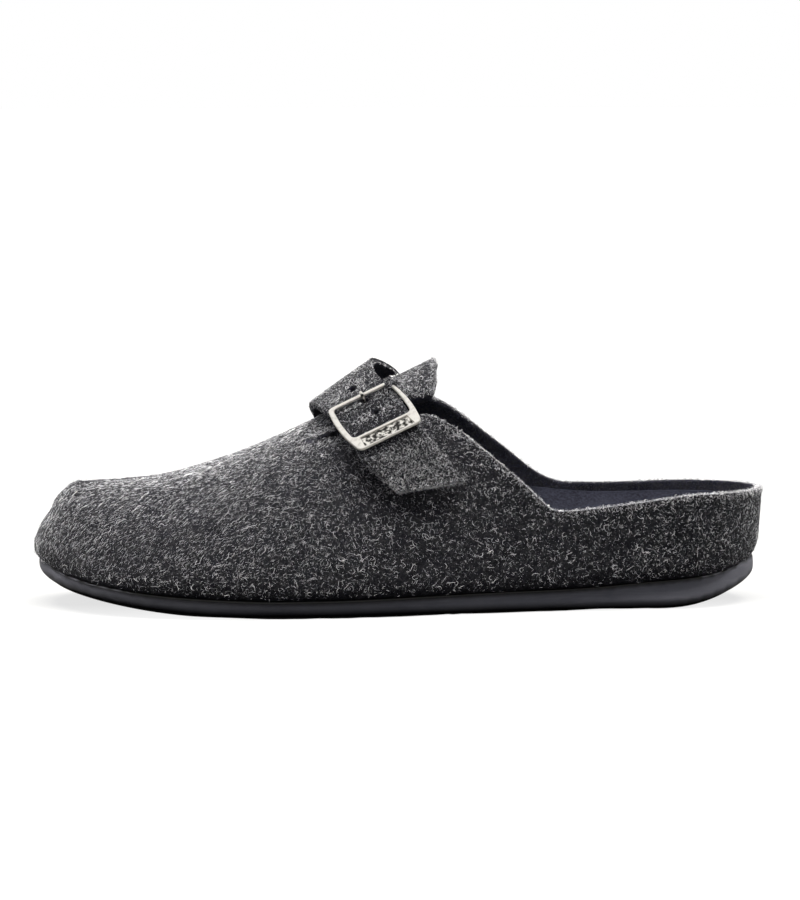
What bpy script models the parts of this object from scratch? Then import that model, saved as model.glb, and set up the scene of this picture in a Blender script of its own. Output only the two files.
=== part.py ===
"""Left felt mule on a rubber sole, with a buckled strap.

Metres, +Z up, toe towards -X, outer side of the foot towards -Y.
The tables below are in millimetres and are measured from the tip of the toe.
"""

import math
from collections import namedtuple

import bmesh
import bpy
from mathutils import Vector

MM = 0.001

# Driving sizes, millimetres
LENGTH = 285.0
FELT = 3.0
GAP = 0.3
TOE_ROUND = 85.0
TOE_SQUARENESS = 2.25
HEEL_ROUND = 40.0
TOE_POLE = 22.0
HEEL_POLE = 37.0
POLE_SPREAD = 0.25
TOE_REACH = 1.5
HEEL_REACH = 0.4
TUCK = 1.9
TUCK_HEIGHT = 6.0
TOE_TUCK = 0.8
TOE_TUCK_RUN = 22.0
RIM_LEVEL = 44.0
SOLE_INSET = 1.3
SOLE_TOE_INSET = 2.0
SOLE_EDGE_ROUND = 4.2
TOE_SPRING = 11.4
TOE_SPRING_BEND = 2.2
TOE_SPRING_RUN = 90.0
TOE_TIP_LIFT = 4.5
TOE_TIP_RUN = 12.0
HEEL_LIFT = 11.0
HEEL_LIFT_RUN = 40.0
SLIT_FRONT = 106.0
QUARTER_CORNER = 151.0
COLLAR_CORNER = 200.5
TONGUE_END = 155.8
TONGUE_EDGE_ANGLE = 62.0
TONGUE_END_ROUND = 4.0
SLIT_OPENING = 0.8

# Grid counts
TOE_STEPS = 10
HEEL_STEPS = 8
WALL_ROWS = 11
VAMP_ROWS = 4

# Plan outline: long axis and half breadths either side of it
Plan = namedtuple("Plan", "from_toe axis outer inner lean")
PLAN = [
    Plan(0.0, 13.0, 56.5, 47.2, 0.3),
    Plan(30.0, 9.4, 56.5, 47.2, 0.3),
    Plan(55.0, 6.8, 56.5, 47.2, 0.3),
    Plan(85.0, 4.7, 56.5, 47.2, 0.3),
    Plan(115.0, 3.5, 55.4, 43.0, 0.3),
    Plan(150.0, 2.4, 49.4, 36.2, 0.4),
    Plan(185.0, 1.0, 42.2, 33.6, 0.8),
    Plan(215.0, 0.2, 37.8, 34.2, 1.3),
    Plan(245.0, 0.0, 36.0, 36.0, 2.0),
    Plan(285.0, 0.0, 36.0, 36.0, 2.6),
]

# Side profile: felt edge at the sole, crest of the last, and the roundness of the section
Profile = namedtuple("Profile", "from_toe feather crest side crown")
PROFILE = [
    Profile(0.0, 18.2, 46.9, 1.20, 2.30),
    Profile(15.0, 13.5, 47.2, 1.28, 2.35),
    Profile(28.0, 11.1, 47.6, 1.42, 2.42),
    Profile(40.0, 9.6, 48.4, 1.60, 2.40),
    Profile(53.0, 8.5, 50.2, 1.80, 2.30),
    Profile(65.0, 7.8, 53.6, 1.95, 2.20),
    Profile(78.0, 7.3, 57.8, 2.05, 2.15),
    Profile(90.0, 6.9, 62.6, 2.05, 2.10),
    Profile(106.0, 6.9, 69.8, 1.95, 2.05),
    Profile(125.0, 7.2, 79.0, 1.85, 2.00),
    Profile(140.0, 7.5, 87.6, 1.80, 2.00),
    Profile(157.0, 7.9, 95.7, 1.80, 2.00),
    Profile(175.0, 8.3, 106.0, 1.90, 2.00),
    Profile(205.0, 8.8, 123.0, 2.00, 2.00),
    Profile(240.0, 11.0, 149.0, 2.00, 2.00),
    Profile(262.0, 12.8, 174.0, 2.00, 2.00),
    Profile(285.0, 18.3, 199.0, 2.00, 2.00),
]

# Height of the collar edge on the outer and inner side
Collar = namedtuple("Collar", "from_toe outer inner")
COLLAR = [
    Collar(151.0, 75.2, 80.4),
    Collar(158.0, 72.8, 78.2),
    Collar(165.0, 68.2, 74.2),
    Collar(172.0, 62.6, 68.8),
    Collar(187.0, 49.8, 57.0),
    Collar(195.0, 42.3, 50.4),
    Collar(200.5, 38.5, 46.6),
    Collar(210.0, 38.8, 43.2),
    Collar(230.0, 40.8, 42.7),
    Collar(260.0, 44.0, 43.4),
    Collar(285.0, 43.9, 43.9),
]

# Line on the vamp where the top grid meets the wall grid, degrees up the section
Join = namedtuple("Join", "from_toe angle")
JOIN = [
    Join(0.0, 60.0),
    Join(60.0, 62.0),
    Join(106.0, 67.0),
]

# Footbed: heights of its edge and of its hollow middle
Bed = namedtuple("Bed", "from_toe outer inner middle")
BED = [
    Bed(0.0, 25.6, 25.6, 22.6),
    Bed(22.0, 23.5, 23.5, 22.0),
    Bed(50.0, 20.6, 21.0, 18.6),
    Bed(90.0, 19.5, 20.5, 17.6),
    Bed(120.0, 23.0, 26.0, 20.4),
    Bed(150.0, 28.0, 33.4, 25.4),
    Bed(180.0, 32.0, 38.2, 28.4),
    Bed(205.0, 34.4, 39.2, 29.0),
    Bed(235.0, 36.9, 39.3, 28.2),
    Bed(262.0, 40.0, 39.6, 28.0),
    Bed(285.0, 39.8, 39.8, 28.0),
]

# Strap rows on the vamp, from the sewn inner end over the crest to the free tail
StrapRow = namedtuple("StrapRow", "side front front_angle rear rear_angle lift_front lift_rear")
STRAP_BEFORE_BUCKLE = [
    StrapRow(1, 134.0, 30.0, 164.0, 30.0, 0.35, 0.35),
    StrapRow(1, 126.0, 42.0, 157.0, 42.0, 0.40, 0.45),
    StrapRow(1, 117.0, 56.0, 149.5, 56.0, 0.7, 0.9),
    StrapRow(1, 111.2, 72.0, 144.0, 72.0, 1.6, 2.4),
    StrapRow(1, 111.0, 90.0, 137.4, 90.0, 3.6, 7.6),
    StrapRow(-1, 112.0, 79.0, 136.0, 79.0, 5.3, 6.4),
]
STRAP_AFTER_BUCKLE = [
    StrapRow(-1, 132.9, 36.0, 159.0, 34.6, 4.6, 4.9),
    StrapRow(-1, 138.2, 31.0, 163.6, 29.0, 3.8, 4.2),
]
STRAP_STEPS = 4
STRAP_EDGE = 0.9

# Buckle, in its own frame: x along the bars, y up the strap, z off the vamp
BUCKLE_ANGLE = 54.6
BUCKLE_FROM_TOE = 132.8
BUCKLE_ALONG = (0.900, 0.146, 0.411)
BUCKLE_OFF = (-0.268, -0.557, 0.785)
FRAME_HALF_WIDTH = 13.9
WINDOW_HALF_WIDTH = 12.4
FRAME_TOP = 14.7
WINDOW_TOP = 13.5
FRAME_BOTTOM = -14.7
WINDOW_BOTTOM = -6.9
FRAME_THICK = 1.8
FRAME_LEVEL = 7.8
SIDE_BOW = 0.9
FRAME_SQUARENESS = 10.0
FRAME_STEPS = 44
BAR_Y = -5.0
BAR_Z = 1.9
BAR_RADIUS = 0.8
BAR_PATH = [(-13.9, 8.4), (-13.8, 6.6), (-13.7, 5.0), (-13.1, 3.5), (-11.8, 2.4), (-9.6, BAR_Z)]

# Strap rows inside the buckle: place up the buckle and height of the strap's inner face
InBuckle = namedtuple("InBuckle", "up inner_face half_width")
STRAP_IN_BUCKLE = [
    InBuckle(14.2, 4.4, 12.5),
    InBuckle(7.0, 4.9, 12.8),
    InBuckle(0.0, 5.0, 12.8),
    InBuckle(-6.5, 4.45, 12.5),
    InBuckle(-11.0, 4.2, 12.6),
    InBuckle(-15.2, 3.2, 12.8),
]
HOLE_RADIUS = 1.3
HOLES_IN_BUCKLE = ((0.2, 21.7), (1.6, 12.3), (2.1, 2.9))

# Prong, y and z in the buckle frame
PRONG_RADIUS = 0.6
PRONG_X = 1.2
PRONG_PATH = [
    (-2.2, 2.5),
    (3.0, 3.4),
    (8.0, 3.4),
    (11.0, 3.2),
    (12.1, 4.2),
    (12.3, 6.0),
    (12.4, 8.0),
    (12.6, 9.6),
    (13.3, 10.45),
    (13.9, 10.5),
    (14.5, 10.4),
]

# Tab that carries the buckle bar
TAB_THICK = 2.0
TAB_LIFT = 0.8
TAB_HALF_WIDTH = 9.0
TAB_SLOT_HALF = 2.2
TAB_RING = 1.2
TAB_ANGLES = (45.5, 41.5, 37.5)
TAB_SLANT = 0.7

# Sole tread: cross grooves under the ball and the heel
Grooves = namedtuple("Grooves", "first last count")
TREAD = [
    Grooves(72.0, 140.0, 9),
    Grooves(196.0, 240.0, 6),
]
GROOVE_WIDTH = 2.6
GROOVE_DEPTH = 1.6
GROOVE_HALF_LENGTH = 24.0


def smooth(table, column, at):
    """Value of one column of a table at a place along the shoe, without overshoot."""
    xs = [row[0] for row in table]
    ys = [getattr(row, column) for row in table]
    if at <= xs[0]:
        return ys[0]
    if at >= xs[-1]:
        return ys[-1]
    index = max(i for i in range(len(xs) - 1) if xs[i] <= at)

    def chord(i):
        return (ys[i + 1] - ys[i]) / (xs[i + 1] - xs[i])

    def slope(i):
        if i == 0:
            return chord(0)
        if i == len(xs) - 1:
            return chord(len(xs) - 2)
        before, after = chord(i - 1), chord(i)
        if before * after <= 0.0:
            return 0.0
        return 2.0 * before * after / (before + after)

    span = xs[index + 1] - xs[index]
    t = (at - xs[index]) / span
    return (
        ys[index] * (1 + 2 * t) * (1 - t) ** 2
        + slope(index) * span * t * (1 - t) ** 2
        + ys[index + 1] * t * t * (3 - 2 * t)
        + slope(index + 1) * span * t * t * (t - 1)
    )


def place(point):
    """Table millimetres to part metres, centred along the length."""
    return Vector((point[0] - LENGTH / 2, point[1], point[2])) * MM


def end_roundness(from_toe):
    """Share of the half breadth left by the rounded toe and heel."""
    to_heel = LENGTH - from_toe
    if from_toe < TOE_ROUND:
        return max(0.0, 1 - (1 - from_toe / TOE_ROUND) ** TOE_SQUARENESS) ** (1 / TOE_SQUARENESS)
    if to_heel < HEEL_ROUND:
        return math.sqrt(max(0.0, 1 - (1 - to_heel / HEEL_ROUND) ** 2))
    return 1.0


def pole_station(distance, pole):
    """Where a wall column near an end meets the long axis."""
    reach = 2 * pole / (1 - POLE_SPREAD)
    if distance >= reach:
        return distance
    return pole + POLE_SPREAD * distance + (1 - POLE_SPREAD) * distance * distance / (2 * reach)


class Column:
    """One wall column of the last, from the feather edge up to the crest."""

    def __init__(self, from_toe, side):
        self.from_toe = from_toe
        self.side = side
        breadth = smooth(PLAN, "outer" if side < 0 else "inner", from_toe)
        reach = HEEL_REACH * max(0.0, 1 - (LENGTH - from_toe) / HEEL_ROUND) ** 2
        reach -= TOE_REACH * max(0.0, 1 - from_toe / HEEL_ROUND) ** 2
        self.foot = Vector((
            from_toe + reach,
            smooth(PLAN, "axis", from_toe) + side * breadth * end_roundness(from_toe),
        ))
        station = pole_station(from_toe, TOE_POLE)
        if from_toe > LENGTH / 2:
            station = LENGTH - pole_station(LENGTH - from_toe, HEEL_POLE)
        self.station = station
        self.spine = Vector((station, smooth(PLAN, "axis", station)))
        self.feather = smooth(PROFILE, "feather", from_toe)
        self.crest = smooth(PROFILE, "crest", station)
        self.side_power = smooth(PROFILE, "side", from_toe)
        self.crown_power = smooth(PROFILE, "crown", from_toe)
        self.lean = smooth(PLAN, "lean", from_toe)

    def angle_at(self, height):
        share = (height - self.feather) / (self.crest - self.feather)
        share = min(1.0, max(0.0, share))
        return math.degrees(math.asin(share ** (self.side_power / 2)))

    def point(self, angle):
        turn = math.radians(min(90.0, angle))
        rise = math.sin(turn) ** (2 / self.side_power)
        inset = 1 - max(0.0, math.cos(turn)) ** (2 / self.crown_power)
        height = self.feather + rise * (self.crest - self.feather)
        tuck = TUCK + TOE_TUCK * max(0.0, 1 - self.from_toe / TOE_TUCK_RUN)
        tuck *= max(0.0, 1 - (height - self.feather) / TUCK_HEIGHT) ** 2
        lean = self.lean * max(0.0, 1 - (height - self.feather) / (RIM_LEVEL - self.feather))
        inward = self.spine - self.foot
        plan = self.foot + inward * inset + inward.normalized() * (tuck + lean)
        return Vector((plan.x, plan.y, height))

    def at_height(self, height):
        return self.point(self.angle_at(height))

    def inset_plan(self, amount):
        inward = (self.spine - self.foot).normalized()
        return self.foot + inward * amount


def stations():
    """Places along the shoe of the wall columns, toe to heel."""
    result = []
    for step in range(TOE_STEPS):
        result.append(TOE_ROUND * (1 - math.cos(math.radians(90 * step / TOE_STEPS))))
    legs = [
        (TOE_ROUND, SLIT_FRONT, 3),
        (SLIT_FRONT, QUARTER_CORNER, 8),
        (QUARTER_CORNER, COLLAR_CORNER, 9),
        (COLLAR_CORNER, LENGTH - HEEL_ROUND, 6),
    ]
    for start, stop, count in legs:
        for step in range(count):
            result.append(start + (stop - start) * step / count)
    for step in range(HEEL_STEPS + 1):
        result.append(LENGTH - HEEL_ROUND * (1 - math.cos(math.radians(90 - 90 * step / HEEL_STEPS))))
    return result


STATIONS = stations()
OUTER = [Column(at, -1) for at in STATIONS]
INNER = [Column(at, 1) for at in STATIONS]
RING = OUTER[::-1] + INNER[1:-1]


def wall_top_angle(column):
    """Upper end of a wall column: join line, slit edge or collar."""
    if column.from_toe <= SLIT_FRONT + 1e-6:
        return smooth(JOIN, "angle", column.from_toe)
    side = "outer" if column.side < 0 else "inner"
    if column.from_toe >= QUARTER_CORNER - 1e-6:
        return column.angle_at(smooth(COLLAR, side, column.from_toe))
    corner = Column(QUARTER_CORNER, column.side)
    last = corner.angle_at(smooth(COLLAR, side, QUARTER_CORNER))
    first = JOIN[-1].angle
    share = (column.from_toe - SLIT_FRONT) / (QUARTER_CORNER - SLIT_FRONT)
    return first + (last - first) * share ** SLIT_OPENING


def vamp_edge_angle(from_toe):
    """Lower edge of the vamp top and of the tongue."""
    if from_toe <= SLIT_FRONT + 1e-6:
        return smooth(JOIN, "angle", from_toe)
    first = JOIN[-1].angle
    share = min(1.0, (from_toe - SLIT_FRONT) / (QUARTER_CORNER - SLIT_FRONT))
    angle = first + (TONGUE_EDGE_ANGLE - first) * share
    if from_toe > QUARTER_CORNER:
        past = (from_toe - QUARTER_CORNER) / (TONGUE_END - QUARTER_CORNER)
        angle = 90 - (90 - angle) * math.sqrt(max(0.05, 1 - 0.9 * past ** TONGUE_END_ROUND))
    return angle


def skin_normal(column, angle):
    """Outward normal of the last at a wall point."""
    step = 0.6
    before = Column(max(0.01, column.from_toe - step), column.side)
    after = Column(min(LENGTH - 0.01, column.from_toe + step), column.side)
    along = after.point(angle) - before.point(angle)
    up = column.point(min(90.0, angle + 1.0)) - column.point(max(0.0, angle - 1.0))
    normal = along.cross(up)
    if column.side > 0:
        normal.negate()
    normal.normalize()
    return normal


def add_object(name, bm, colour, roughness, metallic=0.0):
    """Make a named node from a bmesh, with its own material."""
    mesh = bpy.data.meshes.new(name)
    bm.to_mesh(mesh)
    bm.free()
    obj = bpy.data.objects.new(name, mesh)
    bpy.context.scene.collection.objects.link(obj)
    material = bpy.data.materials.new(name + "_material")
    material.use_nodes = True
    shader = material.node_tree.nodes["Principled BSDF"]
    shader.inputs["Base Color"].default_value = (*colour, 1.0)
    shader.inputs["Roughness"].default_value = roughness
    shader.inputs["Metallic"].default_value = metallic
    mesh.materials.append(material)
    mesh.shade_smooth()
    return obj


def add_cutter(name, bm):
    """Make a hidden cutter object."""
    mesh = bpy.data.meshes.new(name)
    bm.to_mesh(mesh)
    bm.free()
    obj = bpy.data.objects.new(name, mesh)
    bpy.context.scene.collection.objects.link(obj)
    obj.hide_render = True
    obj.display_type = "WIRE"
    return obj


def boolean(obj, cutter, operation):
    modifier = obj.modifiers.new(operation.title(), "BOOLEAN")
    modifier.object = cutter
    modifier.operation = operation
    modifier.solver = "EXACT"


def loft(bm, rings, closed=True):
    """Quads between neighbouring rings of points; returns the rings of vertices."""
    made = [[bm.verts.new(point) for point in ring] for ring in rings]
    count = len(made[0])
    last = count if closed else count - 1
    for lower, upper in zip(made, made[1:]):
        for i in range(last):
            j = (i + 1) % count
            bm.faces.new((lower[i], lower[j], upper[j], upper[i]))
    return made


def cap_across(bm, ring):
    """Close a ring of wall columns with quads from the outer to the inner side."""
    count = len(STATIONS)
    outer = [ring[count - 1 - i] for i in range(count)]
    inner = [ring[0 if i == count - 1 else (count - 1 + i)] for i in range(count)]
    for i in range(count - 1):
        corners = [outer[i], outer[i + 1], inner[i + 1], inner[i]]
        unique = list(dict.fromkeys(corners))
        bm.faces.new(unique)


def finish(bm, merge=0.00005):
    bmesh.ops.remove_doubles(bm, verts=bm.verts, dist=merge)
    bmesh.ops.recalc_face_normals(bm, faces=bm.faces)


def build_upper():
    """Felt skin of walls, vamp and tongue, thickened inwards."""
    bm = bmesh.new()
    rings = [[] for _ in range(WALL_ROWS + 1)]
    for column in RING:
        top = wall_top_angle(column)
        low = [0.0, column.angle_at(column.feather + 1.8), column.angle_at(column.feather + 5.0)]
        for row in range(WALL_ROWS + 1):
            if row < 2:
                angle = low[row]
            else:
                angle = low[2] + (top - low[2]) * (row - 2) / (WALL_ROWS - 2)
            rings[row].append(place(column.point(angle)))
    loft(bm, rings)
    places = [at for at in STATIONS if at <= QUARTER_CORNER + 1e-6]
    for share in (0.35, 0.65, 0.87, 1.0):
        places.append(QUARTER_CORNER + (TONGUE_END - QUARTER_CORNER) * share)
    for side in (-1, 1):
        strips = []
        for at in places:
            column = Column(at, side)
            edge = vamp_edge_angle(at)
            strip = []
            for row in range(VAMP_ROWS + 1):
                strip.append(place(column.point(edge + (90 - edge) * row / VAMP_ROWS)))
            strips.append(strip)
        loft(bm, strips, closed=False)
    finish(bm)
    obj = add_object("upper", bm, (0.09, 0.09, 0.10), 0.95)
    shell = obj.modifiers.new("Felt thickness", "SOLIDIFY")
    shell.thickness = FELT * MM
    shell.offset = -1.0
    shell.use_even_offset = True
    return obj


def sole_bottom(from_toe):
    """Height of the sole's underside, with toe spring and lifted heel end."""
    toe = max(0.0, 1 - from_toe / TOE_SPRING_RUN)
    to_end = LENGTH - 4.0 - from_toe
    heel = max(0.0, 1 - to_end / HEEL_LIFT_RUN)
    tip = max(0.0, 1 - from_toe / TOE_TIP_RUN)
    return TOE_SPRING * toe ** TOE_SPRING_BEND + TOE_TIP_LIFT * tip ** 2 + HEEL_LIFT * min(1.0, heel) ** 2


def build_outsole():
    """Rubber sole from stacked outlines, rounded into the underside."""
    bm = bmesh.new()
    rings = [[] for _ in range(9)]
    for column in RING:
        top = column.feather - GAP
        inset = SOLE_INSET + column.lean + SOLE_TOE_INSET * max(0.0, 1 - column.from_toe / 20)
        bottom = sole_bottom(column.inset_plan(inset + SOLE_EDGE_ROUND).x)
        edge = min(SOLE_EDGE_ROUND, (top - bottom) * 0.62)
        levels = [(top, 1.5), (top - 0.5, 0.6), (top - 1.4, 0.1), (bottom + edge, 0.0)]
        for turn in (22.0, 42.0, 60.0, 76.0, 90.0):
            part = math.radians(turn)
            levels.append((bottom + edge * (1 - math.sin(part)), edge * 1.15 * (1 - math.cos(part))))
        for ring, (height, extra) in zip(rings, levels):
            plan = column.inset_plan(inset + extra)
            ring.append(place((plan.x, plan.y, height)))
    made = loft(bm, rings)
    cap_across(bm, made[0])
    cap_across(bm, made[-1])
    finish(bm)
    obj = add_object("outsole", bm, (0.02, 0.02, 0.022), 0.55)
    cut = bmesh.new()
    for group in TREAD:
        for index in range(group.count):
            at = group.first + (group.last - group.first) * index / (group.count - 1)
            made = bmesh.ops.create_cube(cut, size=1.0)
            size = Vector((GROOVE_WIDTH, 2 * GROOVE_HALF_LENGTH, 2 * GROOVE_DEPTH)) * MM
            bmesh.ops.scale(cut, vec=size, verts=made["verts"])
            middle = smooth(PLAN, "axis", at)
            bmesh.ops.translate(cut, vec=place((at, middle, sole_bottom(at))), verts=made["verts"])
    boolean(obj, add_cutter("tread_cutter", cut), "DIFFERENCE")
    return obj


def build_insole():
    """Footbed that fills the bottom of the upper up to its hollow top face."""
    bm = bmesh.new()
    depth = FELT + GAP + 0.15
    shares = (0.10, 0.28, 0.52, 0.78)
    rings = [[] for _ in range(6 + len(shares))]
    spine = []
    for column in RING:
        side = "outer" if column.side < 0 else "inner"
        edge = smooth(BED, side, column.from_toe)
        middle = smooth(BED, "middle", column.station)
        base = column.feather + 0.05
        wall = []
        for share in (0.0, 0.13, 0.3, 0.6, 1.0):
            height = base + (edge - base) * share
            angle = column.angle_at(height)
            point = column.point(angle) - skin_normal(column, angle) * depth
            wall.append(point)
        foot = Vector((wall[0].x, wall[0].y, base))
        points = [foot] + wall
        top = wall[-1]
        for share in shares:
            plan = Vector((top.x, top.y)).lerp(column.spine, share)
            fall = 1 - (1 - share) ** 2.4
            points.append(Vector((plan.x, plan.y, top.z + (middle - top.z) * fall)))
        for ring, point in zip(rings, points):
            ring.append(place(point))
        spine.append(place((column.spine.x, column.spine.y, middle)))
    made = loft(bm, rings)
    cap_across(bm, made[0])
    top_ring = made[-1]
    middle = [bm.verts.new(point) for point in spine]
    count = len(top_ring)
    for i in range(count):
        j = (i + 1) % count
        bm.faces.new((top_ring[i], top_ring[j], middle[j], middle[i]))
    finish(bm, 0.0001)
    return add_object("insole", bm, (0.03, 0.035, 0.05), 0.8)


def buckle_axes():
    """Origin and axes of the buckle on the outer side of the instep."""
    origin = Column(BUCKLE_FROM_TOE, -1).point(BUCKLE_ANGLE)
    along = Vector(BUCKLE_ALONG).normalized()
    off = Vector(BUCKLE_OFF)
    off = (off - along * off.dot(along)).normalized()
    return origin, along, off.cross(along), off


BUCKLE = buckle_axes()


def in_buckle(x, y, z):
    origin, along, up, off = BUCKLE
    return origin + along * x + up * y + off * z


def strap_rows():
    """Inner front corner, inner rear corner and outward direction of each strap row."""
    rows = []

    def on_vamp(row):
        front = Column(row.front, row.side)
        rear = Column(row.rear, row.side)
        front_out = skin_normal(front, row.front_angle)
        rear_out = skin_normal(rear, row.rear_angle)
        rows.append((
            front.point(row.front_angle) + front_out * row.lift_front,
            rear.point(row.rear_angle) + rear_out * row.lift_rear,
            (front_out + rear_out).normalized(),
        ))

    for row in STRAP_BEFORE_BUCKLE:
        on_vamp(row)
    for row in STRAP_IN_BUCKLE:
        rows.append((
            in_buckle(-row.half_width, row.up, row.inner_face),
            in_buckle(row.half_width, row.up, row.inner_face),
            BUCKLE[3].copy(),
        ))
    for row in STRAP_AFTER_BUCKLE:
        on_vamp(row)
    return rows


def blend(rows, steps):
    """Smooth rows between the given ones."""
    result = []
    for i in range(len(rows) - 1):
        ends = [rows[max(0, i - 1)], rows[i], rows[i + 1], rows[min(len(rows) - 1, i + 2)]]
        for step in range(steps):
            t = step / steps
            mixed = []
            for part in range(3):
                a, b, c, d = (end[part] for end in ends)
                mixed.append(0.5 * (
                    2 * b + (c - a) * t + (2 * a - 5 * b + 4 * c - d) * t * t
                    + (3 * b - a - 3 * c + d) * t ** 3
                ))
            result.append(mixed)
    result.append(list(rows[-1]))
    return result


def band(bm, rows, thick, edge):
    """Solid band through rows, with rounded long edges."""
    rings = []
    for front, rear, out in rows:
        across = rear - front
        width = across.length
        across.normalize()
        out = (out - across * out.dot(across)).normalized()
        ring = []
        for along, height in (
            (edge, 0.0), (width - edge, 0.0), (width - edge * 0.3, edge * 0.3), (width, edge),
            (width, thick - edge), (width - edge * 0.3, thick - edge * 0.3), (width - edge, thick),
            (edge, thick), (edge * 0.3, thick - edge * 0.3), (0.0, thick - edge),
            (0.0, edge), (edge * 0.3, edge * 0.3),
        ):
            ring.append(place(front + across * along + out * height))
        rings.append(ring)
    made = loft(bm, rings)
    bm.faces.new(made[0][::-1])
    bm.faces.new(made[-1])


def build_strap():
    bm = bmesh.new()
    band(bm, blend(strap_rows(), STRAP_STEPS), FELT, STRAP_EDGE)
    finish(bm)
    obj = add_object("strap", bm, (0.09, 0.09, 0.10), 0.95)
    cut = bmesh.new()
    origin, along, up, off = BUCKLE
    turn = off.to_track_quat("Z", "Y").to_matrix()
    for x, y in HOLES_IN_BUCKLE:
        made = bmesh.ops.create_cone(
            cut, cap_ends=True, segments=12, radius1=HOLE_RADIUS * MM, radius2=HOLE_RADIUS * MM, depth=14 * MM
        )
        bmesh.ops.rotate(cut, matrix=turn, verts=made["verts"])
        bmesh.ops.translate(cut, vec=place(in_buckle(x, y, 4.0)), verts=made["verts"])
    boolean(obj, add_cutter("hole_cutter", cut), "DIFFERENCE")
    return obj


def rounded_loop(half_width, top, bottom, step):
    """Point of a soft rectangle, at one of the steps round the buckle."""
    turn = 2 * math.pi * (step + 0.5) / FRAME_STEPS
    power = 2 / FRAME_SQUARENESS
    x = math.copysign(abs(math.cos(turn)) ** power, math.cos(turn))
    y = math.copysign(abs(math.sin(turn)) ** power, math.sin(turn))
    x *= half_width + SIDE_BOW * (1 - y * y)
    return x, (top + bottom) / 2 + y * (top - bottom) / 2


def build_frame():
    bm = bmesh.new()
    rings = [[] for _ in range(8)]
    section = [(0.0, 0.5), (0.0, 1.2), (0.16, 1.65), (0.5, 1.8), (0.84, 1.65), (1.0, 1.2), (1.0, 0.3), (0.5, 0.0)]
    for step in range(FRAME_STEPS):
        outer = rounded_loop(FRAME_HALF_WIDTH, FRAME_TOP, FRAME_BOTTOM, step)
        inner = rounded_loop(WINDOW_HALF_WIDTH, WINDOW_TOP, WINDOW_BOTTOM, step)
        for ring, (across, height) in zip(rings, section):
            x = outer[0] + (inner[0] - outer[0]) * across
            y = outer[1] + (inner[1] - outer[1]) * across
            ring.append(place(in_buckle(x, y, FRAME_LEVEL + height * FRAME_THICK / 1.8)))
    loft(bm, rings + [rings[0]])
    finish(bm)
    obj = add_object("buckle_frame", bm, (0.72, 0.70, 0.66), 0.28, 1.0)
    bar = bmesh.new()
    points = [in_buckle(x, BAR_Y, z) for x, z in BAR_PATH]
    points += [in_buckle(-x, BAR_Y, z) for x, z in reversed(BAR_PATH)]
    tube(bar, points, BAR_RADIUS, BUCKLE[2], sides=10)
    finish(bar, 0.00002)
    boolean(obj, add_cutter("bar", bar), "UNION")
    return obj


def tube(bm, points, radius, side, sides=8):
    """Round wire along points that lie in one plane with the given sideways direction."""
    rings = []
    for i, point in enumerate(points):
        ahead = points[min(i + 1, len(points) - 1)] - points[max(i - 1, 0)]
        ahead.normalize()
        lift = ahead.cross(side).normalized()
        ring = []
        for k in range(sides):
            turn = 2 * math.pi * k / sides
            ring.append(place(point + side * math.cos(turn) * radius + lift * math.sin(turn) * radius))
        rings.append(ring)
    made = loft(bm, rings)
    bm.faces.new(made[0][::-1])
    bm.faces.new(made[-1])


def build_prong():
    bm = bmesh.new()
    points = []
    curl = BAR_RADIUS + GAP + PRONG_RADIUS
    for turn in range(-40, -331, -29):
        part = math.radians(turn)
        points.append(in_buckle(PRONG_X, BAR_Y + curl * math.cos(part), BAR_Z + curl * math.sin(part)))
    for y, z in PRONG_PATH:
        points.append(in_buckle(PRONG_X, y, z))
    tube(bm, points, PRONG_RADIUS, BUCKLE[1])
    finish(bm, 0.00002)
    return add_object("buckle_prong", bm, (0.72, 0.70, 0.66), 0.28, 1.0)


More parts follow.
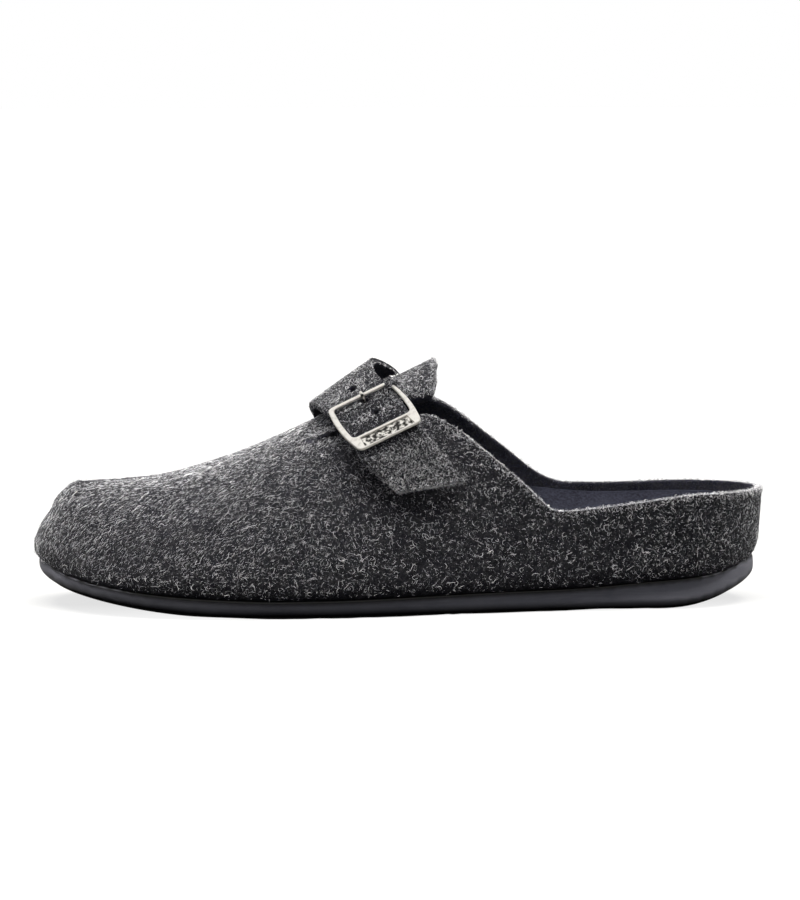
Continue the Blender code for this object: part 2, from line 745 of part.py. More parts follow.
def build_tab():
    """Strip sewn to the outer quarter, folded round the buckle bar."""
    bm = bmesh.new()
    half = TAB_HALF_WIDTH
    fold = BAR_Z - BAR_RADIUS - GAP - TAB_RING
    rows = [(in_buckle(-half, BAR_Y, fold), in_buckle(half, BAR_Y, fold), BUCKLE[3].copy())]
    half = TAB_HALF_WIDTH * 0.93
    for angle in TAB_ANGLES:
        middle = BUCKLE_FROM_TOE + (BUCKLE_ANGLE - angle) * TAB_SLANT
        front = Column(middle - half, -1)
        rear = Column(middle + half, -1)
        front_out = skin_normal(front, angle)
        rear_out = skin_normal(rear, angle)
        rows.append((
            front.point(angle) + front_out * TAB_LIFT,
            rear.point(angle) + rear_out * TAB_LIFT,
            (front_out + rear_out).normalized(),
        ))
    band(bm, blend(rows, 2), TAB_THICK, 0.5)
    finish(bm)
    obj = add_object("buckle_tab", bm, (0.05, 0.05, 0.055), 0.9)
    origin, along, up, off = BUCKLE
    turn = along.to_track_quat("Z", "Y").to_matrix()
    for name, radius, length, operation in (
        ("tab_fold", BAR_RADIUS + GAP + TAB_RING, 2 * TAB_HALF_WIDTH - 0.6, "UNION"),
        ("tab_eye", BAR_RADIUS + GAP, 4 * TAB_HALF_WIDTH, "DIFFERENCE"),
    ):
        part = bmesh.new()
        made = bmesh.ops.create_cone(
            part, cap_ends=True, segments=16, radius1=radius * MM, radius2=radius * MM, depth=length * MM
        )
        bmesh.ops.rotate(part, matrix=turn, verts=made["verts"])
        bmesh.ops.translate(part, vec=place(in_buckle(0, BAR_Y, BAR_Z)), verts=made["verts"])
        boolean(obj, add_cutter(name, part), operation)
    slot = bmesh.new()
    made = bmesh.ops.create_cube(slot, size=1.0)
    bmesh.ops.scale(slot, vec=Vector((2 * TAB_SLOT_HALF, 8.0, 12.0)) * MM, verts=made["verts"])
    for vertex in slot.verts:
        local = vertex.co.copy()
        vertex.co = along * local.x + up * local.y + off * local.z
    bmesh.ops.translate(slot, vec=place(in_buckle(PRONG_X, BAR_Y + 0.4, BAR_Z)), verts=slot.verts)
    boolean(obj, add_cutter("tab_slot", slot), "DIFFERENCE")
    return obj


for old in list(bpy.data.objects):
    bpy.data.objects.remove(old, do_unlink=True)

build_outsole()
build_insole()
build_upper()
build_strap()
build_frame()
build_prong()
build_tab()
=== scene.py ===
# %% [markdown]
# A house mule: one piece of thick grey wool felt drawn over a last, a thin black rubber sole, a soft
# footbed, and a felt strap that runs over the instep through a silver buckle. The solids of the part
# already have the right shape and place, so this lesson keeps every one of them where it is and gives it
# the surface that the real material has: loose wool on the felt, soft gloss on the rubber, a worn shine
# on the metal.

# %% Load the solids
import math
from collections import namedtuple

import bmesh
import bpy
import numpy as np
from mathutils import Matrix, Vector, noise
from mathutils.bvhtree import BVHTree


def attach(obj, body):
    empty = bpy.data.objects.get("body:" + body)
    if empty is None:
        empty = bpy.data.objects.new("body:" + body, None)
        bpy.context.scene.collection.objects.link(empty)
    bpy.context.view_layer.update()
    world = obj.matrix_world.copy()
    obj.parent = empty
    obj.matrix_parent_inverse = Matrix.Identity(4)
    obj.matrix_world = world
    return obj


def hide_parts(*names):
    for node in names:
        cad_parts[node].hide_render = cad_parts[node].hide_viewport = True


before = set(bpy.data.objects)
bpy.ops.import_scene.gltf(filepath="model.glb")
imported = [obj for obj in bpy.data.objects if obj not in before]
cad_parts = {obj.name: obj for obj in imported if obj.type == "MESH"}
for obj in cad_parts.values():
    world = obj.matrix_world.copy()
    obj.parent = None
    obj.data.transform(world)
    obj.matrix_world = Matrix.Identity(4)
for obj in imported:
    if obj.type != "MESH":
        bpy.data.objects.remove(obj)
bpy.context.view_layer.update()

MM = 0.001
BODY = "root"
print("solids:", sorted(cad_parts))

# %% [markdown]
# The picture is taken from the outer side of the shoe, almost level, with a long lens. A camera that
# looks at a fixed point from an azimuth and a height angle is easy to check against a photograph, so it
# is written with those two angles and a distance.

# %% Camera
TARGET = Vector((0.3, 0.0, 59.2)) * MM
VIEW_AZIMUTH = math.radians(-4.0)
VIEW_HEIGHT = math.radians(5.3)
VIEW_ROLL = math.radians(-0.1)
VIEW_DISTANCE = 1.600
NEAREST_SEEN = 0.05
PIXELS_PER_METRE = 2565.0
IMAGE_LONG_SIDE = 900
SENSOR = 36.0


def placed(name, data):
    """A new object in the scene."""
    obj = bpy.data.objects.new(name, data)
    bpy.context.scene.collection.objects.link(obj)
    return obj


backwards = Vector((
    math.sin(VIEW_AZIMUTH) * math.cos(VIEW_HEIGHT),
    -math.cos(VIEW_AZIMUTH) * math.cos(VIEW_HEIGHT),
    math.sin(VIEW_HEIGHT),
))
lens = bpy.data.cameras.new("camera")
lens.sensor_width = SENSOR
lens.lens = SENSOR * VIEW_DISTANCE * PIXELS_PER_METRE / IMAGE_LONG_SIDE
lens.clip_start = NEAREST_SEEN
camera = placed("camera", lens)
camera.location = TARGET + backwards * VIEW_DISTANCE
turn = (-backwards).to_track_quat("-Z", "Y").to_matrix() @ Matrix.Rotation(VIEW_ROLL, 3, "Z")
camera.rotation_euler = turn.to_euler()
bpy.context.scene.camera = camera
print("camera lens", round(lens.lens, 1), "mm")

# %% [markdown]
# Every finish is built from shader nodes. A small helper adds one node, sets its values and joins its
# links in a single call, so that a material reads from top to bottom like a recipe.

# %% Shader helpers
# A Mix node holds sockets for numbers, vectors and colours; these are the ones for colours.
MIX_FIRST = 6
MIX_SECOND = 7
MIX_COLOUR = 2


def add(tree, kind, inputs=None, **settings):
    """One shader node, with values or links for its inputs."""
    made = tree.nodes.new("ShaderNode" + kind)
    for key, value in settings.items():
        setattr(made, key, value)
    for socket, value in (inputs or {}).items():
        if isinstance(value, bpy.types.NodeSocket):
            tree.links.new(value, made.inputs[socket])
        else:
            made.inputs[socket].default_value = value
    return made


def finish_named(name, **values):
    """A new material, its nodes and its shader, with plain values set on the shader's own sockets."""
    material = bpy.data.materials.new(name)
    material.use_nodes = True
    shader = material.node_tree.nodes["Principled BSDF"]
    for socket, value in values.items():
        shader.inputs[socket.replace("_", " ")].default_value = value
    return material, material.node_tree, shader


def grey(level, blue=1.0):
    """A grey in linear light, with a share more blue."""
    return (level, level, level * blue, 1.0)


def steps(tree, value, low, high, at_low=0.0, at_high=1.0):
    """A value moved from one range to another, without running past its ends."""
    made = add(tree, "MapRange", {
        "Value": value, "From Min": low, "From Max": high, "To Min": at_low, "To Max": at_high,
    })
    return made.outputs["Result"]


def math_node(tree, operation, first, second=0.0):
    """The result of one operation on values or links."""
    made = add(tree, "Math", {0: first, 1: second}, operation=operation)
    return made.outputs[0]


def mixed(tree, share, first, second):
    """Colour between two others."""
    made = add(tree, "Mix", {"Factor": share, MIX_FIRST: first, MIX_SECOND: second}, data_type="RGBA")
    return made.outputs[MIX_COLOUR]


def noise_at(tree, place, scale, detail=2.0, shift=0.0, distortion=0.0):
    """Noise on the piece's own coordinates; a shift gives an unlike copy of it."""
    moved = add(tree, "Mapping", {"Vector": place, "Location": (shift, shift * 0.7, shift * 1.3)})
    made = add(tree, "TexNoise", {
        "Vector": moved.outputs["Vector"], "Scale": scale, "Detail": detail, "Distortion": distortion,
    })
    return made.outputs["Fac"]


def part_of(tree, vector, letter):
    """One coordinate of a vector."""
    return add(tree, "SeparateXYZ", {"Vector": vector}).outputs[letter]


def bumped(tree, shader, height, strength, distance):
    """Let a height stand out on a shader's surface."""
    bump = add(tree, "Bump", {"Height": height, "Strength": strength, "Distance": distance})
    tree.links.new(bump.outputs["Normal"], shader.inputs["Normal"])


print("helpers ready")

# %% [markdown]
# A studio surrounds the shoe with a sky, and this one has three. The camera sees pure white. As a light
# the sky is weak and a little blue, so that the shade stays dark. Shiny things mirror the third one,
# bright overhead and darker towards the horizon, as they would mirror a big soft box. A Light Path node
# tells the three kinds of ray apart, which keeps the white of the picture from washing out the shoe.

# %% Sky
WHITE = (1.0, 1.0, 1.0, 1.0)
SKY_SEEN = 1.0
SKY_LIGHT = 0.17
SKY_COLOUR = (0.45, 0.60, 1.0, 1.0)
MIRROR_OVERHEAD = 1.45
MIRROR_HORIZON = 0.45

world = bpy.data.worlds.new("studio")
bpy.context.scene.world = world
world.use_nodes = True
sky = world.node_tree
seen = sky.nodes["Background"]
seen.inputs["Color"].default_value = WHITE
seen.inputs["Strength"].default_value = SKY_SEEN
light = add(sky, "Background", {"Color": SKY_COLOUR, "Strength": SKY_LIGHT})
upwards = part_of(sky, add(sky, "TexCoord").outputs["Generated"], "Z")
mirror = add(sky, "Background", {"Strength": steps(sky, upwards, 0.0, 1.0, MIRROR_HORIZON, MIRROR_OVERHEAD)})
ray = add(sky, "LightPath").outputs
either = add(sky, "MixShader", {
    "Fac": ray["Is Camera Ray"], 1: light.outputs["Background"], 2: seen.outputs["Background"],
})
which = add(sky, "MixShader", {
    "Fac": ray["Is Glossy Ray"], 1: either.outputs["Shader"], 2: mirror.outputs["Background"],
})
sky.links.new(which.outputs["Shader"], sky.nodes["World Output"].inputs["Surface"])
bpy.context.scene.view_settings.view_transform = "Standard"
print("sky: light", SKY_LIGHT, "and mirror", MIRROR_HORIZON, "to", MIRROR_OVERHEAD)

# %% [markdown]
# A wide lamp overhead makes the top of the shoe lighter than its sides, and two weak lamps beside the toe
# and the heel open the shadows there. A sun with a wide angle gives the soft shadows of a big lamp and
# needs no place of its own, only the way to its source. The lamps are kept out of mirrors, which show the
# sky.

# %% Lamps
Lamp = namedtuple("Lamp", "name strength spread source")
LAMP_COLOUR = (1.0, 0.975, 0.91)
LAMPS = (
    Lamp("wide_lamp", 13.8, 62.0, (0.02, -0.02, 1.0)),
    Lamp("toe_lamp", 1.6, 60.0, (-0.90, -0.15, 0.42)),
    Lamp("heel_lamp", 1.4, 60.0, (0.95, -0.10, 0.42)),
)

for lamp in LAMPS:
    sun = bpy.data.lights.new(lamp.name, "SUN")
    sun.energy = lamp.strength
    sun.angle = math.radians(lamp.spread)
    sun.color = LAMP_COLOUR
    hung = placed(lamp.name, sun)
    hung.rotation_euler = Vector(lamp.source).to_track_quat("Z", "Y").to_euler()
    hung.visible_glossy = False
print("lamps:", [lamp.name for lamp in LAMPS])

# %% [markdown]
# The shoe stands on white paper. A real photographer would lift the white of the table afterwards; here
# the paper itself is dark, so that it doesn't light the shoe from below, and it glows to the camera
# alone, most in front of the shoe, so that shadows on it stay pale.

# %% Table
FLOOR_SIZE = 40.0
FLOOR_DROP = 0.2 * MM
FLOOR_GREY = 0.085
GLOW_BEHIND = 0.74
GLOW_FRONT = 0.95
GLOW_FROM = 0.0 * MM
GLOW_TO = -60.0 * MM

bm = bmesh.new()
bmesh.ops.create_grid(bm, x_segments=1, y_segments=1, size=FLOOR_SIZE / 2)
bmesh.ops.translate(bm, vec=(0.0, 0.0, -FLOOR_DROP), verts=bm.verts)
floor_mesh = bpy.data.meshes.new("floor")
bm.to_mesh(floor_mesh)
bm.free()
floor = placed("floor", floor_mesh)
paper, table, sheet = finish_named(
    "white_table", Base_Color=grey(FLOOR_GREY), Roughness=1.0, Specular_IOR_Level=0.0, Emission_Color=WHITE,
)
depth = part_of(table, add(table, "TexCoord").outputs["Object"], "Y")
glow = steps(table, depth, GLOW_FROM, GLOW_TO, GLOW_BEHIND, GLOW_FRONT)
eye = add(table, "LightPath").outputs["Is Camera Ray"]
table.links.new(math_node(table, "MULTIPLY", glow, eye), sheet.inputs["Emission Strength"])
floor_mesh.materials.append(paper)
print("table: glow", GLOW_BEHIND, "behind and", GLOW_FRONT, "in front")

# %% [markdown]
# Felt is wool pressed into a mat. Close up it is a dark ground crossed by lighter hairs that bend and
# cross each other. A thin band round one level of a noise is a line that wanders like a hair, so three
# such sets of lines make the hairs that lie in the mat. The loose hairs on top, which make the outside
# grey, are real geometry, made later. The same recipe serves the outside, the bare inside, and a darker
# felt that paints the shade in the buckle's window.

# %% Felt finish
HairSet = namedtuple("HairSet", "scale shift width level")
HAIR_SETS = (
    HairSet(900.0, 0.0, 0.080, 0.045),
    HairSet(1300.0, 3.1, 0.090, 0.03),
    HairSet(700.0, 7.7, 0.060, 0.07),
)
WOOL_SHEEN = (0.75, 0.75, 0.78, 1.0)


def felt_finish(name, ground, hair_gain, sheen):
    """Felt with a grey ground, lines of hair lighter by a gain, and a share of sheen."""
    material, tree, shader = finish_named(
        name, Roughness=0.95, Specular_IOR_Level=0.1,
        Sheen_Weight=sheen, Sheen_Roughness=0.45, Sheen_Tint=WOOL_SHEEN,
    )
    place = add(tree, "TexCoord").outputs["Object"]
    cloud = noise_at(tree, place, 130.0, detail=3.0, shift=1.7)
    grain = noise_at(tree, place, 2200.0, detail=2.0, shift=5.3)
    colour = mixed(tree, steps(tree, cloud, 0.35, 0.65), grey(ground * 0.6, 1.8), grey(ground * 1.6, 1.6))
    colour = mixed(tree, steps(tree, grain, 0.48, 0.70), colour, grey(ground * 4.0, 1.3))
    height = grain
    for lines in HAIR_SETS:
        wander = noise_at(tree, place, lines.scale, detail=1.0, shift=lines.shift, distortion=0.8)
        off_level = math_node(tree, "ABSOLUTE", math_node(tree, "SUBTRACT", wander, 0.5))
        line = steps(tree, off_level, 0.0, lines.width, 1.0, 0.0)
        broken = noise_at(tree, place, lines.scale * 0.8, detail=1.0, shift=lines.shift + 11.0)
        hair = math_node(tree, "MULTIPLY", line, steps(tree, broken, 0.46, 0.56))
        colour = mixed(tree, hair, colour, grey(lines.level * hair_gain, 1.08))
        height = math_node(tree, "MAXIMUM", height, hair)
    tree.links.new(colour, shader.inputs["Base Color"])
    bumped(tree, shader, height, strength=0.6, distance=0.4 * MM)
    return material


felt_outside = felt_finish("felt_outside", ground=0.003, hair_gain=0.45, sheen=0.08)
felt_inside = felt_finish("felt_inside", ground=0.012, hair_gain=0.50, sheen=0.02)
felt_window_shade = felt_finish("felt_window_shade", ground=0.002, hair_gain=0.25, sheen=0.03)
print("felt finishes:", felt_outside.name, felt_inside.name, felt_window_shade.name)

# %% [markdown]
# The solids are made of flat triangles. A smooth skin over the same form comes from a copy of each one:
# the doubled corners are merged, the triangles are joined back into quads, the hard edges get a crease,
# and the subdivision surface rounds the rest. Subdivision draws every corner inwards a little. So it is
# run twice: the first run shows how far each corner shrinks, the corners are pushed out by as much, and
# the second run then passes close to the corners of the solid.

# %% Copies of the solids
MERGE_WITHIN = 0.02 * MM
QUAD_FACE_ANGLE = math.radians(30)
QUAD_SHAPE_ANGLE = math.radians(150)


def solid_copy(node):
    """One solid as a mesh to work on, merged and in quads."""
    made = bmesh.new()
    made.from_mesh(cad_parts[node].data)
    bmesh.ops.remove_doubles(made, verts=made.verts, dist=MERGE_WITHIN)
    bmesh.ops.join_triangles(
        made, faces=made.faces,
        angle_face_threshold=QUAD_FACE_ANGLE, angle_shape_threshold=QUAD_SHAPE_ANGLE,
    )
    return made


def hard_edges(made, above):
    """The edges that bend more than an angle in degrees."""
    return [edge for edge in made.edges if edge.calc_face_angle(0.0) > math.radians(above)]


def crease_hard_edges(made, above, amount):
    """Crease the edges that bend more than an angle; returns them."""
    layer = made.edges.layers.float.new("crease_edge")
    hard = hard_edges(made, above)
    for edge in hard:
        edge[layer] = amount
    return hard


def new_piece(name, made):
    """An object from a mesh in work, shaded smooth."""
    mesh = bpy.data.meshes.new(name)
    made.to_mesh(mesh)
    made.free()
    mesh.shade_smooth()
    return placed(name, mesh)


print("triangles of the solids:", sum(len(node.data.polygons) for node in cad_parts.values()))


# %% Smooth pieces
def evaluated(obj):
    """The mesh of an object with its modifiers."""
    return bpy.data.meshes.new_from_object(obj.evaluated_get(bpy.context.evaluated_depsgraph_get()))


def subdivide(obj, levels, push=1.0):
    """Subdivision surface through the corners of a piece, applied; a lower push follows them less."""
    modifier = obj.modifiers.new("Smooth", "SUBSURF")
    modifier.levels = levels
    modifier.render_levels = levels
    rough = obj.data
    shrunk = evaluated(obj)
    for corner in rough.vertices:
        corner.co += (corner.co - shrunk.vertices[corner.index].co) * push
    bpy.data.meshes.remove(shrunk)
    rough.update()
    mesh = evaluated(obj)
    obj.modifiers.clear()
    obj.data = mesh
    mesh.name = rough.name
    bpy.data.meshes.remove(rough)
    mesh.shade_smooth()
    return obj


def smooth_copy(name, node, above, amount, levels):
    """A smooth piece in the shape of a solid, with its hard edges creased."""
    made = solid_copy(node)
    crease_hard_edges(made, above, amount)
    return subdivide(new_piece(name, made), levels)


def settle(obj, node, slot, *materials):
    """Give a piece its finish and let it stand for a solid."""
    for material in materials:
        obj.data.materials.append(material)
    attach(obj, BODY)
    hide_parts(node)
    obj.data.calc_loop_triangles()
    print(obj.name, len(obj.data.loop_triangles), "triangles")


# %% [markdown]
# The upper is one hollow piece of felt, 3 mm thick. Its outside will be grey with loose wool, and the
# inside, which gets no loose wool, stays dark. A face lies inside if its normal points towards the middle
# line of the shoe. The cut edges get a weight of their own, because the wool frays there.

# %% Upper
SHOE_MIDDLE = 4.0 * MM
FOOT_MIDDLE_HEIGHT = 26.0 * MM
FOOT_FRONT = -100.0 * MM
FOOT_BACK = 105.0 * MM
CUT_ANGLE = 50.0
CUT_CREASE = 0.8


def felt_piece(name, node, push):
    """A smooth copy of a felt solid, with the corners of its cut edges marked."""
    made = solid_copy(node)
    hard = crease_hard_edges(made, CUT_ANGLE, CUT_CREASE)
    layer = made.verts.layers.float.new("cut_edge")
    for edge in hard:
        for corner in edge.verts:
            corner[layer] = 1.0
    return subdivide(new_piece(name, made), 2, push)


def faces_inwards(polygon, limit):
    """True for a face that looks towards the foot; a limit below zero leaves out the cut sides."""
    along = min(FOOT_BACK, max(FOOT_FRONT, polygon.center.x))
    middle = Vector((along, SHOE_MIDDLE, FOOT_MIDDLE_HEIGHT))
    return polygon.normal.dot((polygon.center - middle).normalized()) < limit


upper = felt_piece("upper_felt", "upper", 1.0)
settle(upper, "upper", "felt", felt_outside, felt_inside)
for polygon in upper.data.polygons:
    polygon.material_index = 1 if faces_inwards(polygon, 0.0) else 0
inside_faces = sum(polygon.material_index for polygon in upper.data.polygons)
print("upper: inside faces", inside_faces, "of", len(upper.data.polygons))

# %% [markdown]
# Felt that has been worn is not quite even. A few shallow troughs and ridges are listed in millimetres,
# each with its middle, the way it runs, the way it stands out, its half length and half
# width, and its height, below zero for a trough. Both skins of the felt move together, so the wall keeps
# its thickness, and a noise adds a last slight unevenness.

# %% Soft creases
Crease = namedtuple("Crease", "middle run out half_length half_width height")
CREASES = (
    # The front of the toe box is flattened, and the edge above it sharpened.
    Crease((-137.0, 6.0, 36.0), (0.0, 1.0, 0.0), (-0.80, 0.0, 0.60), 46.0, 6.0, -1.0),
    Crease((-127.0, 6.0, 47.0), (0.0, 1.0, 0.0), (-0.40, 0.0, 0.90), 46.0, 4.5, 0.5),
    # The corner of the collar is drawn in.
    Crease((62.0, -40.0, 35.5), (0.0, 1.0, 0.0), (-1.0, 0.0, 0.0), 14.0, 5.0, 2.6),
    # The tongue swells over a corner of the buckle, and its free edge is rounded.
    Crease((-3.0, -15.6, 81.4), (-0.34, 0.82, 0.46), (-0.27, -0.56, 0.79), 8.0, 7.0, 9.8),
    Crease((13.0, 2.0, 88.5), (0.0, 1.0, 0.0), (1.0, 0.0, 0.0), 14.0, 4.5, 1.5),
    # The lower lip of the slit is sunk.
    Crease((-22.0, -24.5, 67.0), (0.94, -0.15, 0.29), (-0.20, -0.70, 0.68), 18.0, 3.2, -1.3),
    # The walls are slightly uneven.
    Crease((-76.0, -30.0, 44.0), (0.80, 0.0, 0.40), (0.0, -0.75, 0.66), 22.0, 6.0, -0.30),
    Crease((-100.0, -40.0, 30.0), (0.90, 0.0, 0.15), (0.0, -0.95, 0.30), 20.0, 6.0, 0.30),
    Crease((32.0, -44.0, 36.0), (0.60, 0.0, 0.75), (0.0, -1.0, 0.0), 16.0, 6.0, -0.40),
    Crease((62.0, -37.0, 27.0), (0.95, 0.0, 0.10), (0.0, -1.0, 0.0), 26.0, 5.0, -0.30),
    Crease((108.0, -33.0, 30.0), (0.30, 0.0, 0.90), (0.2, -0.95, 0.0), 12.0, 6.0, 0.30),
)
REACH = 16.0
STEEPNESS = 2.0
UNEVEN_GRAIN = 14.0 * MM
UNEVEN_HEIGHT = 0.16 * MM
STILL_BELOW = 16.0 * MM
STILL_FADE = 12.0 * MM


def crease_push(corner, creases):
    """How far the creases move a corner."""
    push = Vector()
    for crease in creases:
        out = Vector(crease.out).normalized()
        run = Vector(crease.run).normalized()
        away = corner / MM - Vector(crease.middle)
        depth = away.dot(out)
        ahead = away.dot(run) / crease.half_length
        aside = (away - out * depth - run * away.dot(run)).length / crease.half_width
        deep = depth / REACH
        bell = math.exp(-STEEPNESS * (ahead * ahead + aside * aside + deep * deep))
        push += out * crease.height * MM * bell
    return push


def felt_shift(corner):
    """How a corner of the felt moves; next to the sole it stays."""
    rise = min(1.0, max(0.0, (corner.z - STILL_BELOW) / STILL_FADE))
    away_from_middle = Vector((0.0, corner.y - SHOE_MIDDLE, corner.z - FOOT_MIDDLE_HEIGHT)).normalized()
    uneven = away_from_middle * UNEVEN_HEIGHT * noise.noise(corner / UNEVEN_GRAIN)
    return (uneven + crease_push(corner, CREASES)) * rise


for corner in upper.data.vertices:
    corner.co += felt_shift(corner.co)
print("creases:", len(CREASES))

# %% [markdown]
# The strap is cut from the same felt, and its copy is made in the same way as the upper's. It gets the
# third felt finish too: where the buckle holds it, the felt is painted darker as the shade under the ring.

# %% Strap
strap = felt_piece("strap_felt", "strap", 0.5)
settle(strap, "strap", "felt", felt_outside, felt_inside, felt_window_shade)

# %% [markdown]
# The sole is black rubber, dull but with a soft gloss on its side. Rubber that has been handled is not
# one even black: a faint cloud in its roughness breaks the reflection, and the side is a little grey with
# dust. The seam under the felt and the lowest edge are painted black as the shade that the felt and the
# floor cast there. Both lie at heights that change along the shoe, so each corner of the mesh carries its
# lift above the lowest edge and its drop below the seam. The fine wave of the tread underneath is small
# enough to be a bump.

# %% Rubber finish
# Painted shade: the side is black below these lifts over the lowest edge and these drops under the seam, in
# mm.
BOTTOM_SHADE_FROM = 0.8
BOTTOM_SHADE_TO = 4.0
SEAM_SHADE_FROM = 0.5
SEAM_SHADE_TO = 2.2
TREAD_WAVES = 230.0
RUBBER_BLACK = grey(0.0015)
DUST_THIN = grey(0.080, 1.20)
DUST_THICK = grey(0.112, 1.16)
DUST_STREAK = grey(0.148, 1.14)


def rubber_finish():
    """Black rubber, dusty on its side, with painted shade at the seam and lowest edge from lift and drop."""
    material, tree, shader = finish_named("sole_rubber", Roughness=0.5, Specular_IOR_Level=0.28)
    place = add(tree, "TexCoord").outputs["Object"]
    cloud = noise_at(tree, place, 60.0, detail=4.0, shift=0.4)
    streak_place = add(tree, "Mapping", {"Vector": place, "Scale": (0.12, 0.12, 1.0)}).outputs["Vector"]
    streaks = noise_at(tree, streak_place, 900.0, detail=3.0, shift=6.0)
    dusty = mixed(tree, steps(tree, cloud, 0.3, 0.7), DUST_THIN, DUST_THICK)
    dusty = mixed(tree, steps(tree, streaks, 0.5, 0.8, 0.0, 0.5), dusty, DUST_STREAK)
    lift = add(tree, "Attribute", attribute_name="lift").outputs["Fac"]
    drop = add(tree, "Attribute", attribute_name="drop").outputs["Fac"]
    out_of_floor_shade = steps(tree, lift, BOTTOM_SHADE_FROM, BOTTOM_SHADE_TO)
    out_of_seam_shade = steps(tree, drop, SEAM_SHADE_FROM, SEAM_SHADE_TO)
    # Painted shade: the dusty side turns black at the seam and at the lowest edge.
    colour = mixed(tree, math_node(tree, "MULTIPLY", out_of_floor_shade, out_of_seam_shade), RUBBER_BLACK, dusty)
    tree.links.new(colour, shader.inputs["Base Color"])
    tree.links.new(steps(tree, cloud, 0.3, 0.7, 0.45, 0.6), shader.inputs["Roughness"])
    facing = part_of(tree, add(tree, "NewGeometry").outputs["Normal"], "Z")
    waves = {"Vector": place, "Scale": TREAD_WAVES, "Distortion": 1.5}
    wave = add(tree, "TexWave", waves, bands_direction="X").outputs["Fac"]
    tread = math_node(tree, "MULTIPLY", wave, steps(tree, facing, -0.8, -0.95))
    pores = math_node(tree, "MULTIPLY", noise_at(tree, place, 2600.0, detail=2.0, shift=2.2), 0.25)
    bumped(tree, shader, math_node(tree, "ADD", pores, tread), strength=0.3, distance=0.4 * MM)
    return material


sole_rubber = rubber_finish()
print("rubber finish:", sole_rubber.name)

# %% Rubber sole
LIFT_STEP = 5.0 * MM


def mesh_arrays(obj):
    """Triangle corners, places and normals of a piece as arrays."""
    mesh = obj.data
    mesh.calc_loop_triangles()
    corners = np.empty(len(mesh.loop_triangles) * 3, dtype=np.int32)
    mesh.loop_triangles.foreach_get("vertices", corners)
    places = np.empty(len(mesh.vertices) * 3)
    mesh.vertices.foreach_get("co", places)
    normals = np.empty(len(mesh.vertices) * 3)
    mesh.vertices.foreach_get("normal", normals)
    return corners.reshape(-1, 3), places.reshape(-1, 3), normals.reshape(-1, 3)


def above_lowest(places):
    """How far each place lies above the lowest one on the same side of the shoe and as far along it."""
    bin_number = 2 * np.floor(places[:, 0] / LIFT_STEP).astype(int) + (places[:, 1] < SHOE_MIDDLE)
    bin_number -= bin_number.min()
    lowest = np.full(bin_number.max() + 1, np.inf)
    np.minimum.at(lowest, bin_number, places[:, 2])
    return places[:, 2] - lowest[bin_number]


def note(obj, name, millimetres):
    """Keep a number at every corner of a piece for its finish to read."""
    layer = obj.data.attributes.new(name, "FLOAT", "POINT")
    layer.data.foreach_set("value", millimetres.astype(np.float32))


sole = smooth_copy("rubber_sole", "outsole", 40.0, 0.7, 2)
places = mesh_arrays(sole)[1]
note(sole, "lift", above_lowest(places) / MM)
note(sole, "drop", above_lowest(places * (1.0, 1.0, -1.0)) / MM)
settle(sole, "outsole", "sole_rubber", sole_rubber)

# %% [markdown]
# The footbed is a moulded pad with a dark blue, very fine suede on top. It swells under the arch of the
# foot, by one more soft ridge. Suede is matt, so it gets a fine nap as bump and only a trace of sheen.

# %% Footbed
ARCH = (Crease((46.0, 36.0, 33.0), (1.0, 0.0, 0.0), (0.0, 0.0, 1.0), 30.0, 24.0, 5.0),)
SUEDE_DARK = (0.003, 0.003, 0.005, 1.0)
SUEDE_LIGHT = (0.0125, 0.0133, 0.0195, 1.0)
SUEDE_BRUSHED = (0.015, 0.016, 0.024, 1.0)
SUEDE_SHEEN = (0.5, 0.56, 0.75, 1.0)


def suede_finish():
    """Dark blue suede with a fine nap and lighter places where it has been brushed."""
    material, tree, shader = finish_named(
        "footbed_suede", Roughness=0.9, Specular_IOR_Level=0.15,
        Sheen_Weight=0.05, Sheen_Roughness=0.4, Sheen_Tint=SUEDE_SHEEN,
    )
    place = add(tree, "TexCoord").outputs["Object"]
    nap = noise_at(tree, place, 1100.0, detail=3.0, shift=0.9)
    brushed = noise_at(tree, place, 90.0, detail=3.0, shift=4.1)
    colour = mixed(tree, steps(tree, nap, 0.35, 0.65), SUEDE_DARK, SUEDE_LIGHT)
    colour = mixed(tree, steps(tree, brushed, 0.4, 0.8, 0.0, 0.5), colour, SUEDE_BRUSHED)
    tree.links.new(colour, shader.inputs["Base Color"])
    bumped(tree, shader, nap, strength=0.4, distance=0.3 * MM)
    return material


footbed = smooth_copy("footbed", "insole", 50.0, 0.6, 2)
settle(footbed, "insole", "footbed", suede_finish())
for corner in footbed.data.vertices:
    corner.co += crease_push(corner.co, ARCH)

# %% [markdown]
# The buckle is cast metal with an old silver finish: pale and satin where it is touched, dark with patina
# in its hollow. In each finish one noise drives the colour, the gloss and the height together: a rubbed
# place of the patina is bright, smooth and raised at once, and a dull place of the silver is rough too.
# Fine scratches lie over the silver.

# %% Silver
SILVER = (0.86, 0.83, 0.77, 1.0)
SILVER_DULL = (0.62, 0.59, 0.54, 1.0)
PATINA = (0.045, 0.042, 0.038, 1.0)


def silver_finish():
    """Satin silver with fine scratches."""
    material, tree, shader = finish_named("old_silver", Metallic=1.0, Roughness=0.42)
    place = add(tree, "TexCoord").outputs["Object"]
    wear = noise_at(tree, place, 620.0, detail=3.0, shift=0.6)
    scratch_place = add(tree, "Mapping", {"Vector": place, "Scale": (1.0, 1.0, 0.15)}).outputs["Vector"]
    scratches = noise_at(tree, scratch_place, 4200.0, detail=2.0, shift=3.3)
    colour = mixed(tree, steps(tree, wear, 0.5, 0.8), SILVER, SILVER_DULL)
    tree.links.new(colour, shader.inputs["Base Color"])
    tree.links.new(steps(tree, wear, 0.3, 0.7, 0.36, 0.52), shader.inputs["Roughness"])
    height = math_node(tree, "ADD", wear, math_node(tree, "MULTIPLY", scratches, 0.3))
    bumped(tree, shader, height, strength=0.15, distance=0.2 * MM)
    return material


